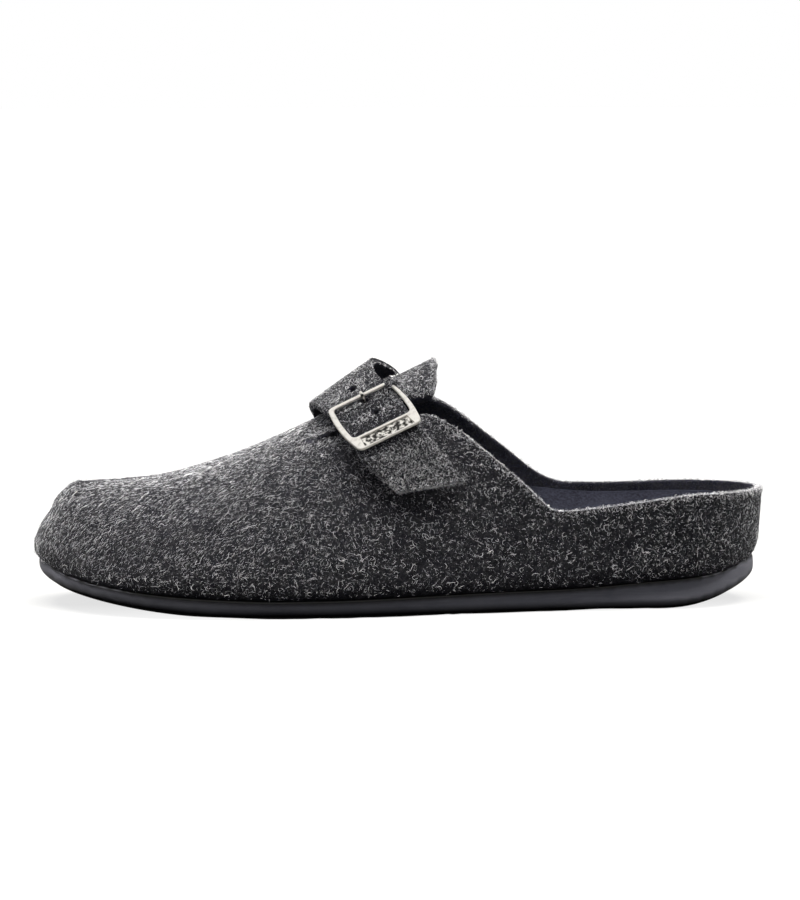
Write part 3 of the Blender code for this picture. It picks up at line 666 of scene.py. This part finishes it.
def patina_finish():
    """Dark tarnish that is rubbed bright in places."""
    material, tree, shader = finish_named("silver_patina", Metallic=1.0, Roughness=0.5)
    place = add(tree, "TexCoord").outputs["Object"]
    worn = noise_at(tree, place, 700.0, detail=3.0, shift=8.1)
    colour = mixed(tree, steps(tree, worn, 0.46, 0.60), PATINA, SILVER)
    tree.links.new(colour, shader.inputs["Base Color"])
    tree.links.new(steps(tree, worn, 0.4, 0.7, 0.6, 0.4), shader.inputs["Roughness"])
    bumped(tree, shader, worn, strength=0.5, distance=0.3 * MM)
    return material


silver = silver_finish()
patina = patina_finish()
print("metal finishes:", silver.name, patina.name)

# %% [markdown]
# The buckle lies on the slope of the instep, turned two ways. It is easier to draw in millimetres of its
# own, with X along its width, Y up the strap and Z off the foot. The two directions are those of the
# solid ring, and the middle of the ring's upper face is the origin, so the drawing lands where the solid
# is.

# %% The plane of the buckle
BUCKLE_ALONG = Vector((0.900, 0.146, 0.411)).normalized()
BUCKLE_OFF = Vector((-0.268, -0.557, 0.785))


def buckle_plane():
    """Matrix from the buckle's own millimetres to the shoe."""
    along = BUCKLE_ALONG
    off = (BUCKLE_OFF - along * BUCKLE_OFF.dot(along)).normalized()
    up = off.cross(along)
    corners = [corner.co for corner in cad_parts["buckle_frame"].data.vertices]
    origin = off * max(corner.dot(off) for corner in corners)
    for axis in (along, up):
        reach = [corner.dot(axis) for corner in corners]
        origin = origin + axis * (min(reach) + max(reach)) / 2
    turned = Matrix((along, up, off)).transposed().to_4x4()
    turned.translation = origin
    return turned @ Matrix.Scale(MM, 4)


plane = buckle_plane()
to_buckle = plane.inverted()
print("buckle plane at", [round(c / MM, 1) for c in plane.translation])

# %% [markdown]
# The ring could stay a copy of the solid, but its edges would be hard. Here it is drawn again with the
# usual steps of a metal part: two rounded outlines are bridged into a flat ring, its sides are bowed, the
# ring is solidified, every edge is bevelled, and the broad lower bar is hollowed with an inset. The
# hollow is a plain hammered panel. Behind the ring a bent wire, circles bridged one to the next, carries
# the prong.

# %% Flat ring
RING_HALF_WIDTH = 13.1
RING_HALF_HEIGHT = 14.9
RING_CORNER = 1.9
WINDOW_HALF_WIDTH = 11.1
WINDOW_TOP = 13.4
WINDOW_BOTTOM = -7.1
WINDOW_CORNER = 1.6
CORNER_SEGMENTS = 5
SIDE_LONGER_THAN = 10.0
SIDE_LEANS_LESS_THAN = 3.0
SIDE_CUTS = 7
SIDE_BOW = 1.7
SIDE_LEAN = 0.028
REAR_TAPER = 0.9
WINDOW_MARGIN = 0.1


def rounded_outline(made, half_width, bottom, top, corner):
    """Edges of a rectangle with round corners, as one loop."""
    quad = bmesh.ops.create_grid(made, x_segments=1, y_segments=1, size=1.0)["verts"]
    bmesh.ops.scale(made, vec=(half_width, (top - bottom) / 2, 1.0), verts=quad)
    bmesh.ops.translate(made, vec=(0.0, (top + bottom) / 2, 0.0), verts=quad)
    bmesh.ops.bevel(
        made, geom=quad, offset=corner, offset_type="OFFSET", affect="VERTICES",
        segments=CORNER_SEGMENTS, profile=0.5, material=-1,
    )


def bow_sides(made):
    """Cut and bow the long sides, the rear one thin at its top."""
    upright = []
    for edge in made.edges:
        run = edge.verts[1].co - edge.verts[0].co
        if abs(run.y) > SIDE_LONGER_THAN and abs(run.x) < SIDE_LEANS_LESS_THAN:
            upright.append(edge)
    bmesh.ops.subdivide_edges(made, edges=upright, cuts=SIDE_CUTS, use_grid_fill=True)
    for corner in made.verts:
        if WINDOW_HALF_WIDTH / 2 < corner.co.x < WINDOW_HALF_WIDTH + WINDOW_MARGIN:
            high = (corner.co.y - WINDOW_BOTTOM) / (WINDOW_TOP - WINDOW_BOTTOM)
            corner.co.x += REAR_TAPER * min(1.0, max(0.0, high))
        height = corner.co.y / RING_HALF_HEIGHT
        corner.co.x += corner.co.x / RING_HALF_WIDTH * SIDE_BOW * (1.0 - height * height)
        corner.co.x += SIDE_LEAN * (RING_HALF_HEIGHT - corner.co.y)


made = bmesh.new()
rounded_outline(made, RING_HALF_WIDTH, -RING_HALF_HEIGHT, RING_HALF_HEIGHT, RING_CORNER)
rounded_outline(made, WINDOW_HALF_WIDTH, WINDOW_BOTTOM, WINDOW_TOP, WINDOW_CORNER)
bmesh.ops.delete(made, geom=made.faces[:], context="FACES_ONLY")
bmesh.ops.bridge_loops(made, edges=made.edges[:])
bmesh.ops.recalc_face_normals(made, faces=made.faces[:])
if made.faces[0].normal.z < 0.0:
    bmesh.ops.reverse_faces(made, faces=made.faces[:])
bow_sides(made)
print("flat ring:", len(made.faces), "faces")

# %% Thick ring with a panel
RING_THICK = 1.3
RING_EDGE_ANGLE = 50.0
EDGE_ROUND = 0.42
EDGE_SEGMENTS = 3
PANEL_BELOW = -8.0
PANEL_FACES_UP = 0.9
PANEL_BORDER = 0.7
PANEL_DROP = 0.35
PANEL_WALL = 0.2
PANEL_DEPTH = 0.55
PANEL_CUTS = 14
HAMMER_GRAIN = 1.5
HAMMER_DEPTH = 0.30


def hollow_panel(made):
    """Sink a hammered panel into the broad lower bar."""
    facing = [face for face in made.faces if face.normal.z > PANEL_FACES_UP]
    lower = [face for face in facing if face.calc_center_median().y < PANEL_BELOW]
    panel = max(lower, key=lambda face: face.calc_area())
    bmesh.ops.inset_region(made, faces=[panel], thickness=PANEL_BORDER, depth=0.0)
    bmesh.ops.translate(made, vec=(0.0, -PANEL_DROP, 0.0), verts=panel.verts[:])
    bmesh.ops.inset_region(made, faces=[panel], thickness=PANEL_WALL, depth=-PANEL_DEPTH)
    panel.material_index = 1
    cut = bmesh.ops.subdivide_edges(made, edges=panel.edges[:], cuts=PANEL_CUTS, use_grid_fill=True)
    for item in cut["geom_inner"]:
        if isinstance(item, bmesh.types.BMVert) and not item.is_boundary:
            item.co.z += HAMMER_DEPTH * noise.noise(item.co / HAMMER_GRAIN)


bmesh.ops.solidify(made, geom=made.faces[:], thickness=RING_THICK)
top = max(corner.co.z for corner in made.verts)
bmesh.ops.translate(made, vec=(0.0, 0.0, -top), verts=made.verts)
bmesh.ops.recalc_face_normals(made, faces=made.faces[:])
bmesh.ops.bevel(
    made, geom=hard_edges(made, RING_EDGE_ANGLE), offset=EDGE_ROUND, offset_type="OFFSET", affect="EDGES",
    segments=EDGE_SEGMENTS, profile=0.5, material=-1,
)
hollow_panel(made)
print("thick ring:", len(made.faces), "faces")

# %% Buckle ring with its bar
BAR_PATH = ((-13.2, -1.0), (-12.8, -2.2), (-12.1, -3.6), (-11.2, -5.2), (-10.4, -6.6), (-9.2, -7.7))
BAR_MIDDLE = 0.56
BAR_Y = -5.0
BAR_RADIUS = 0.8
BAR_SIDES = 12
RING_SHARP_ANGLE = 38.0


def ring_bar():
    """The bent wire under the ring that the prong turns on, as a mesh of its own."""
    wire = bmesh.new()
    points = [Vector((BAR_MIDDLE + x, BAR_Y, z)) for x, z in BAR_PATH]
    points += [Vector((BAR_MIDDLE - x, BAR_Y, z)) for x, z in reversed(BAR_PATH)]
    last_loop = None
    for number, point in enumerate(points):
        ahead = points[min(number + 1, len(points) - 1)] - points[max(number - 1, 0)]
        turned = ahead.to_track_quat("Z", "Y").to_matrix().to_4x4()
        turned.translation = point
        ends = number in (0, len(points) - 1)
        circle = bmesh.ops.create_circle(
            wire, cap_ends=ends, segments=BAR_SIDES, radius=BAR_RADIUS, matrix=turned,
        )
        loop = {edge for corner in circle["verts"] for edge in corner.link_edges}
        if last_loop:
            bmesh.ops.bridge_loops(wire, edges=list(last_loop | loop))
        last_loop = loop
    bmesh.ops.recalc_face_normals(wire, faces=wire.faces[:])
    # The wire gets the dark patina, as patina and as painted shade under the ring.
    for face in wire.faces:
        face.material_index = 1
    mesh = bpy.data.meshes.new("bar")
    wire.to_mesh(mesh)
    wire.free()
    return mesh


bar_mesh = ring_bar()
made.from_mesh(bar_mesh)
bpy.data.meshes.remove(bar_mesh)
bmesh.ops.transform(made, matrix=plane, verts=made.verts)
ring = new_piece("buckle_ring", made)
ring.data.set_sharp_from_angle(angle=math.radians(RING_SHARP_ANGLE))
settle(ring, "buckle_frame", "buckle_metal", silver, patina)

# %% [markdown]
# The prong is a plain bent wire. A smooth copy of its solid is all that it needs; only its end on the
# ring stays bright silver, and the shank in the strap's hole gets the dark patina as painted shade.

# %% Prong
PIN_SHADE_BELOW = 13.2

pin = smooth_copy("buckle_pin", "buckle_prong", 60.0, 0.5, 2)
settle(pin, "buckle_prong", "buckle_metal", silver, patina)
# Painted shade: the shank below the ring's top bar gets the dark patina.
for polygon in pin.data.polygons:
    polygon.material_index = 1 if (to_buckle @ polygon.center).y < PIN_SHADE_BELOW else 0

# %% [markdown]
# Under the strap a short tab holds the bar of the buckle. Almost nothing of it shows, so a smooth copy in
# the bare felt of the inside is enough.

# %% Tab
tab = smooth_copy("buckle_tab_felt", "buckle_tab", 50.0, 0.6, 1)
settle(tab, "buckle_tab", "tab_strip", felt_inside)

# %% [markdown]
# Loose wool makes felt look like felt: thousands of short hairs lie on it, bend, cross, and stand up a
# little at the cut edges, so that the outline is soft. Each hair here is a closed three-sided spindle
# with a point at both ends. Thousands of them are too many for one object each, so the points of all
# hairs of a piece are worked out together as arrays and joined in one mesh. Five plain greys are enough,
# because real wool for this kind of felt is a blend of dark and undyed hairs.

# %% Kinds of wool
# The two darkest greys are neutral and the lighter ones a little blue; hairs that face up shift towards the
# neutral ones, a painted tint of the warm light from above.
HAIR_GREYS = ((0.80, 1.03), (0.45, 1.06), (0.22, 1.10), (0.10, 1.0), (0.05, 1.0))
# Lengths, lifts and radii are in millimetres; the shade gives the shares of the first greys.
Wool = namedtuple("Wool", "length lift stand radius shade bend curl rings")
SPECKS = Wool((0.30, 0.9), (0.02, 0.12), 0.0, (0.03, 0.068), (5, 4, 4, 2), 0.6, 0.0, 1)
SHORT = Wool((0.8, 2.4), (0.05, 0.30), 0.0, (0.03, 0.062), (4, 4, 3, 1), 1.9, 0.8, 2)
FRAYED = Wool((0.7, 2.2), (0.05, 0.45), 1.1, (0.035, 0.07), (3, 4, 4, 1), 1.4, 0.6, 2)
CURLS = Wool((2.4, 4.4), (0.12, 0.45), 0.0, (0.04, 0.07), (5, 3, 0, 0), 3.2, 1.2, 5)

hair_finishes = []
for level, blue in HAIR_GREYS:
    hair_finishes.append(finish_named(
        "wool_%02d" % round(level * 100), Roughness=0.8,
        Base_Color=grey(level, blue), Specular_IOR_Level=0.2,
    )[0])
print("wool greys:", [finish.name for finish in hair_finishes])

# %% [markdown]
# Hairs on the toe have been stroked back and up by the hand, so they lie nearly one way there; on the
# walls and close to the sole they curl every way. The share of combing therefore grows from the instep to
# the toe, and with the height. A hair is a few steps along the felt, each turned a little from the last.
# It is laid across its point of the felt, or starts close to that point if it stands up.

# %% Hair lines
COMBED = np.array((0.77, 0.0, 0.64))
COMB_FROM = 0.0 * MM
COMB_TO = -70.0 * MM
COMB_LOW = 8.0 * MM
COMB_HIGH = 24.0 * MM
COMB_LEAST = 0.1
COMB_STRENGTH = 2.6
COMB_CALMS = 0.8
ROOT_LYING = 0.5
ROOT_STANDING = 0.2
SUNK = 0.5


def unit(vectors):
    """Vectors of length one."""
    return vectors / np.linalg.norm(vectors, axis=1, keepdims=True)


def hair_lines(point, normal, wool, rng):
    """The middle line of every hair, and its thickness."""
    count = len(point)
    free = unit(np.cross(normal, rng.normal(size=(count, 3))))
    comb = COMBED - normal * (normal @ COMBED)[:, None]
    share = np.clip((COMB_FROM - point[:, :1]) / (COMB_FROM - COMB_TO), 0.0, 1.0)
    share *= np.clip((point[:, 2:] - COMB_LOW) / (COMB_HIGH - COMB_LOW), COMB_LEAST, 1.0)
    upright = normal * rng.uniform(0.0, wool.stand, size=(count, 1))
    ahead = unit(free + comb * share * COMB_STRENGTH + upright)
    beside = np.cross(normal, ahead)
    calm = 1.0 - COMB_CALMS * share
    reach = rng.uniform(*wool.length, size=(count, 1)) * MM
    turn = rng.normal(0.0, wool.bend, size=(count, 1)) * calm
    curl = rng.normal(0.0, wool.curl, size=(count, 1)) * calm
    rise = rng.uniform(*wool.lift, size=(count, 1)) * MM
    thick = rng.uniform(*wool.radius, size=(count, 1)) * MM
    stops = wool.rings + 2
    line = [point - ahead * reach * (ROOT_STANDING if wool.stand else ROOT_LYING)]
    for step in range(1, stops):
        part = (step - 0.5) / (stops - 1)
        angle = turn * (part - 0.5) + curl * np.sin(2 * math.pi * part)
        line.append(line[-1] + (ahead * np.cos(angle) + beside * np.sin(angle)) * reach / (stops - 1))
    for step in range(stops):
        part = step / (stops - 1)
        line[step] = line[step] + normal * (rise * math.sin(math.pi * part) - thick * SUNK)
    return line, thick


print("combed hairs from", COMB_FROM / MM, "to", COMB_TO / MM, "mm")

# %% [markdown]
# Every line gets a ring of three corners at each inner step and a point at its ends. All spindles of a
# piece have the same triangles, so one small list is repeated with a growing offset. Many of the hairs
# that face up are a step darker, as painted shade that holds down the lit top of the felt; frayed ones
# stay light.

# %% Hair meshes
TOP_SHADE_GAIN = 0.45
TOP_SHADE_START = 0.15
RING_ANGLES = (90.0, 210.0, 330.0)


def spindle_corners(line, thick, normal, rings):
    """The corners of all spindles, one row for each hair."""
    corners = [line[0]]
    for step in range(1, rings + 1):
        along = unit(line[step + 1] - line[step - 1])
        across = unit(np.cross(along, normal))
        up = np.cross(across, along)
        for angle in RING_ANGLES:
            way = across * math.cos(math.radians(angle)) + up * math.sin(math.radians(angle))
            corners.append(line[step] + way * thick)
    corners.append(line[-1])
    return np.stack(corners, axis=1)


def spindle_faces(rings):
    """The triangles of one spindle: three at each point, and bands between its rings."""
    end = 3 * rings + 1
    faces = []
    for this in range(3):
        after = (this + 1) % 3
        faces.append((0, 1 + after, 1 + this))
        for low in range(1, 1 + 3 * (rings - 1), 3):
            faces.append((low + this, low + after, low + 3 + after))
            faces.append((low + this, low + 3 + after, low + 3 + this))
        faces.append((end - 3 + this, end - 3 + after, end))
    return np.array(faces)


def hair_mesh(name, point, normal, wool, rng):
    """Spindles that lie on a surface, in one mesh."""
    line, thick = hair_lines(point, normal, wool, rng)
    corners = spindle_corners(line, thick, normal, wool.rings)
    faces = spindle_faces(wool.rings)
    count = len(point)
    offsets = np.arange(count) * corners.shape[1]
    all_faces = (faces[None, :, :] + offsets[:, None, None]).reshape(-1, 3)
    mesh = bpy.data.meshes.new(name)
    mesh.from_pydata(corners.reshape(-1, 3).tolist(), [], all_faces.tolist())
    for material in hair_finishes:
        mesh.materials.append(material)
    kinds = rng.choice(len(wool.shade), size=count, p=np.array(wool.shade) / sum(wool.shade))
    # Painted shade: hairs that face up take a darker grey.
    darker = 0.0 if wool.stand else np.clip(normal[:, 2] * TOP_SHADE_GAIN - TOP_SHADE_START, 0.0, 1.0)
    kinds = np.minimum(kinds + np.floor(darker + rng.random(count)).astype(int), len(HAIR_GREYS) - 1)
    mesh.polygons.foreach_set("material_index", np.repeat(kinds, len(faces)).astype(np.int32))
    mesh.shade_smooth()
    obj = placed(name, mesh)
    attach(obj, BODY)
    print(name, count, "hairs,", len(all_faces), "triangles")


# %% [markdown]
# Wool isn't spread evenly. Points are drawn at random over the triangles of a piece, more where its
# corners weigh more, so a weight at each corner is all that says where the felt is light. A soft noise
# mottles it, and the cut edges are frayed.

# %% Places for hairs
MOTTLE_GRAIN = 6.0 * MM
MOTTLE_LEVEL = 0.85
MOTTLE_SWING = 0.5
MOTTLE_LEAST = 0.5
MOTTLE_MOST = 1.4
FRAY_GAIN = 1.8
FRAY_START = 0.1


def scatter(obj, per_square_mm, weights, rng):
    """Random points and normals on a piece, more where a corner weighs more."""
    corners, places, normals = mesh_arrays(obj)
    a, b, c = (places[corners[:, k]] for k in range(3))
    area = np.linalg.norm(np.cross(b - a, c - a), axis=1) / 2
    share = area * weights[corners].mean(axis=1)
    count = int(per_square_mm * share.sum() / MM ** 2)
    chosen = corners[rng.choice(len(corners), size=count, p=share / share.sum())]
    blend = rng.dirichlet((1.0, 1.0, 1.0), size=count)
    point = sum(places[chosen[:, k]] * blend[:, k:k + 1] for k in range(3))
    normal = sum(normals[chosen[:, k]] * blend[:, k:k + 1] for k in range(3))
    return point, unit(normal)


def mottle(places):
    """Uneven share of light wool, in soft patches."""
    level = [noise.noise(Vector(place) / MOTTLE_GRAIN) for place in places]
    return np.clip(MOTTLE_LEVEL + MOTTLE_SWING * np.array(level), MOTTLE_LEAST, MOTTLE_MOST)


def frayed_edge(obj):
    """The weight of the cut edges at each corner of a felt piece."""
    marked = np.zeros(len(obj.data.vertices), dtype=np.float32)
    obj.data.attributes["cut_edge"].data.foreach_get("value", marked)
    return np.clip(marked * FRAY_GAIN - FRAY_START, 0.0, 1.0)


print("cut edges: upper", int(frayed_edge(upper).sum()), "strap", int(frayed_edge(strap).sum()), "corners")

# %% [markdown]
# Some places of the upper are painted dark as shade. Light hairs are left out in the slit beside the
# tongue, which opens towards the buckle, and the faces at its lips take the dark inside felt. Light hairs
# grow fewer in the seam above the sole and in the shade close to the strap.

# %% Dark places of the upper
SLIT_FRONT = Vector((-37.5, -18.6, 64.3)) * MM
SLIT_REAR = Vector((-4.0, -24.0, 73.2)) * MM
SLIT_NARROW = 0.7
SLIT_OPENS = 0.6
SLIT_CLEAR = 1.9 * MM
SLIT_SHADE_REACH = 1.3 * MM
SEAM_CLEAR = 0.8 * MM
SEAM_FADE = 1.6 * MM
SEAM_LEAST = 0.05
STRAP_SHADE = 1.9 * MM
SHADE_LEAST = 0.1


def near_slit(place, reach):
    """True close to the slit between the vamp and the tongue."""
    along = SLIT_REAR - SLIT_FRONT
    away = Vector(place) - SLIT_FRONT
    share = min(1.0, max(0.0, away.dot(along) / along.length_squared))
    return (away - along * share).length < reach * (SLIT_NARROW + SLIT_OPENS * share)


strap_skin = BVHTree.FromPolygons(
    [corner.co for corner in strap.data.vertices],
    [polygon.vertices for polygon in strap.data.polygons],
)


def beside_strap(place):
    """Share of light wool that is left close to the strap, which keeps the felt there in the shade."""
    away = strap_skin.find_nearest(Vector(place), STRAP_SHADE)[3]
    return 1.0 if away is None else max(SHADE_LEAST, away / STRAP_SHADE)


# Painted shade: faces at the slit take the dark inside felt.
for polygon in upper.data.polygons:
    if near_slit(polygon.center, SLIT_SHADE_REACH):
        polygon.material_index = 1
inside = np.zeros(len(upper.data.vertices))
for polygon in upper.data.polygons:
    if polygon.material_index:
        inside[list(polygon.vertices)] = 1.0
places, normals = mesh_arrays(upper)[1:]
out_of_slit_shade = np.array([0.0 if near_slit(place, SLIT_CLEAR) else 1.0 for place in places])
# Painted shade: fewer light hairs in the seam above the sole.
out_of_seam_shade = np.clip((above_lowest(places) - SEAM_CLEAR) / SEAM_FADE, SEAM_LEAST, 1.0)
shaded = np.array([beside_strap(place) for place in places])
in_slit = int((1.0 - out_of_slit_shade).sum())
in_shade = int((shaded < 1.0).sum())
print("dark corners:", in_slit, "in the slit and", in_shade, "in the strap's shade")

# %% [markdown]
# The rest of the upper is divided softly. The vamp in front is lightest, above all where it faces up, and
# the walls behind it are darker, with more light wool again towards the heel end as painted light. The
# far side has an even cover. A few long curls lie over everything.

# %% Wool on the felt
WOOL_SEED = 7
FRONT_FROM = 10.0 * MM
FRONT_FADE = 60.0 * MM
FRONT_UPRIGHT = 0.52
FRONT_LEVEL = 0.48
REAR_UPRIGHT = 0.74
REAR_LEVEL = 0.8
HEEL_FROM = 75.0 * MM
HEEL_FADE = 65.0 * MM
HEEL_LIGHT_WOOL = 0.8

rng = np.random.default_rng(WOOL_SEED)
outside = (1.0 - inside) * mottle(places) * out_of_slit_shade * out_of_seam_shade * shaded
outer_side = (places[:, 1] < SHOE_MIDDLE).astype(float)
front = np.clip((FRONT_FROM - places[:, 0]) / FRONT_FADE, 0.0, 1.0)
facing_up = np.clip(normals[:, 2], 0.0, 1.0)
front_share = outside * outer_side * front * (FRONT_UPRIGHT + FRONT_LEVEL * facing_up)
rear_share = outside * outer_side * (1.0 - front) * (REAR_UPRIGHT + REAR_LEVEL * facing_up)
# Painted light: more light wool towards the heel end.
rear_share *= 1.0 + HEEL_LIGHT_WOOL * np.clip((places[:, 0] - HEEL_FROM) / HEEL_FADE, 0.0, 1.0)
far_share = outside * (1.0 - outer_side)
edge_share = frayed_edge(upper)
edge_share *= (1.0 - inside) * out_of_slit_shade * out_of_seam_shade

for name, weights, per_square_mm, wool in (
    ("specks_vamp", front_share, 2.7, SPECKS),
    ("specks_wall", rear_share, 1.45, SPECKS),
    ("specks_far", far_share, 1.4, SPECKS),
    ("wool_vamp", front_share, 1.0, SHORT),
    ("wool_wall", rear_share, 0.45, SHORT),
    ("wool_far", far_share, 0.35, SHORT),
    ("wool_curls", outside, 0.04, CURLS),
    ("wool_edge", edge_share, 2.6, FRAYED),
):
    point, normal = scatter(upper, per_square_mm, weights, rng)
    hair_mesh(name, point, normal, wool, rng)

# %% [markdown]
# The strap is covered in the same way. Its underside and its punched holes stay dark and bare. In the
# buckle's window half the light wool is left, as painted shade, and the free tail gets half as much again
# as painted light, so it is the lightest. Holes and window are found in the buckle's own millimetres.

# %% Wool on the strap
STRAP_HOLES = ((0.2, 21.7), (1.6, 12.3), (2.1, 2.9))
HOLE_CLEAR = 2.0
HOLE_DARK = 1.5
# Painted shade in the window and painted light on the tail, as shares of light wool.
WINDOW_SHADE_WOOL = 0.5
TAIL_LIGHT_WOOL = 1.5
STRAP_UNDERSIDE = -0.5


def near_hole(place, reach):
    """True close to one of the strap's punched holes, seen along the buckle's plane."""
    local = to_buckle @ Vector(place)
    return any(math.hypot(local.x - x, local.y - y) < reach for x, y in STRAP_HOLES)


def in_window(place):
    """True for what shows through the buckle."""
    local = to_buckle @ Vector(place)
    return abs(local.x) < WINDOW_HALF_WIDTH and WINDOW_BOTTOM < local.y < WINDOW_TOP


def strap_wool(place):
    """Share of light wool on the strap: less in the window as painted shade, more on the tail as painted
    light.
    """
    if in_window(place):
        return WINDOW_SHADE_WOOL
    return TAIL_LIGHT_WOOL if (to_buckle @ Vector(place)).y < -RING_HALF_HEIGHT else 1.0


places = mesh_arrays(strap)[1]
clear = np.zeros(len(places))
for polygon in strap.data.polygons:
    if near_hole(polygon.center, HOLE_DARK) or faces_inwards(polygon, STRAP_UNDERSIDE):
        polygon.material_index = 1
    else:
        # Painted shade: faces in the buckle's window get the darker felt.
        polygon.material_index = 2 if in_window(polygon.center) else 0
        clear[list(polygon.vertices)] = 1.0
strap_share = mottle(places) * clear * [strap_wool(place) for place in places]

for name, weights, per_square_mm, wool in (
    ("specks_strap", strap_share, 3.3, SPECKS),
    ("wool_strap", strap_share, 0.8, SHORT),
    ("wool_strap_edge", frayed_edge(strap) * clear, 2.6, FRAYED),
):
    point, normal = scatter(strap, per_square_mm, weights, rng)
    kept = np.array([not near_hole(place, HOLE_CLEAR) for place in point])
    hair_mesh(name, point[kept], normal[kept], wool, rng)
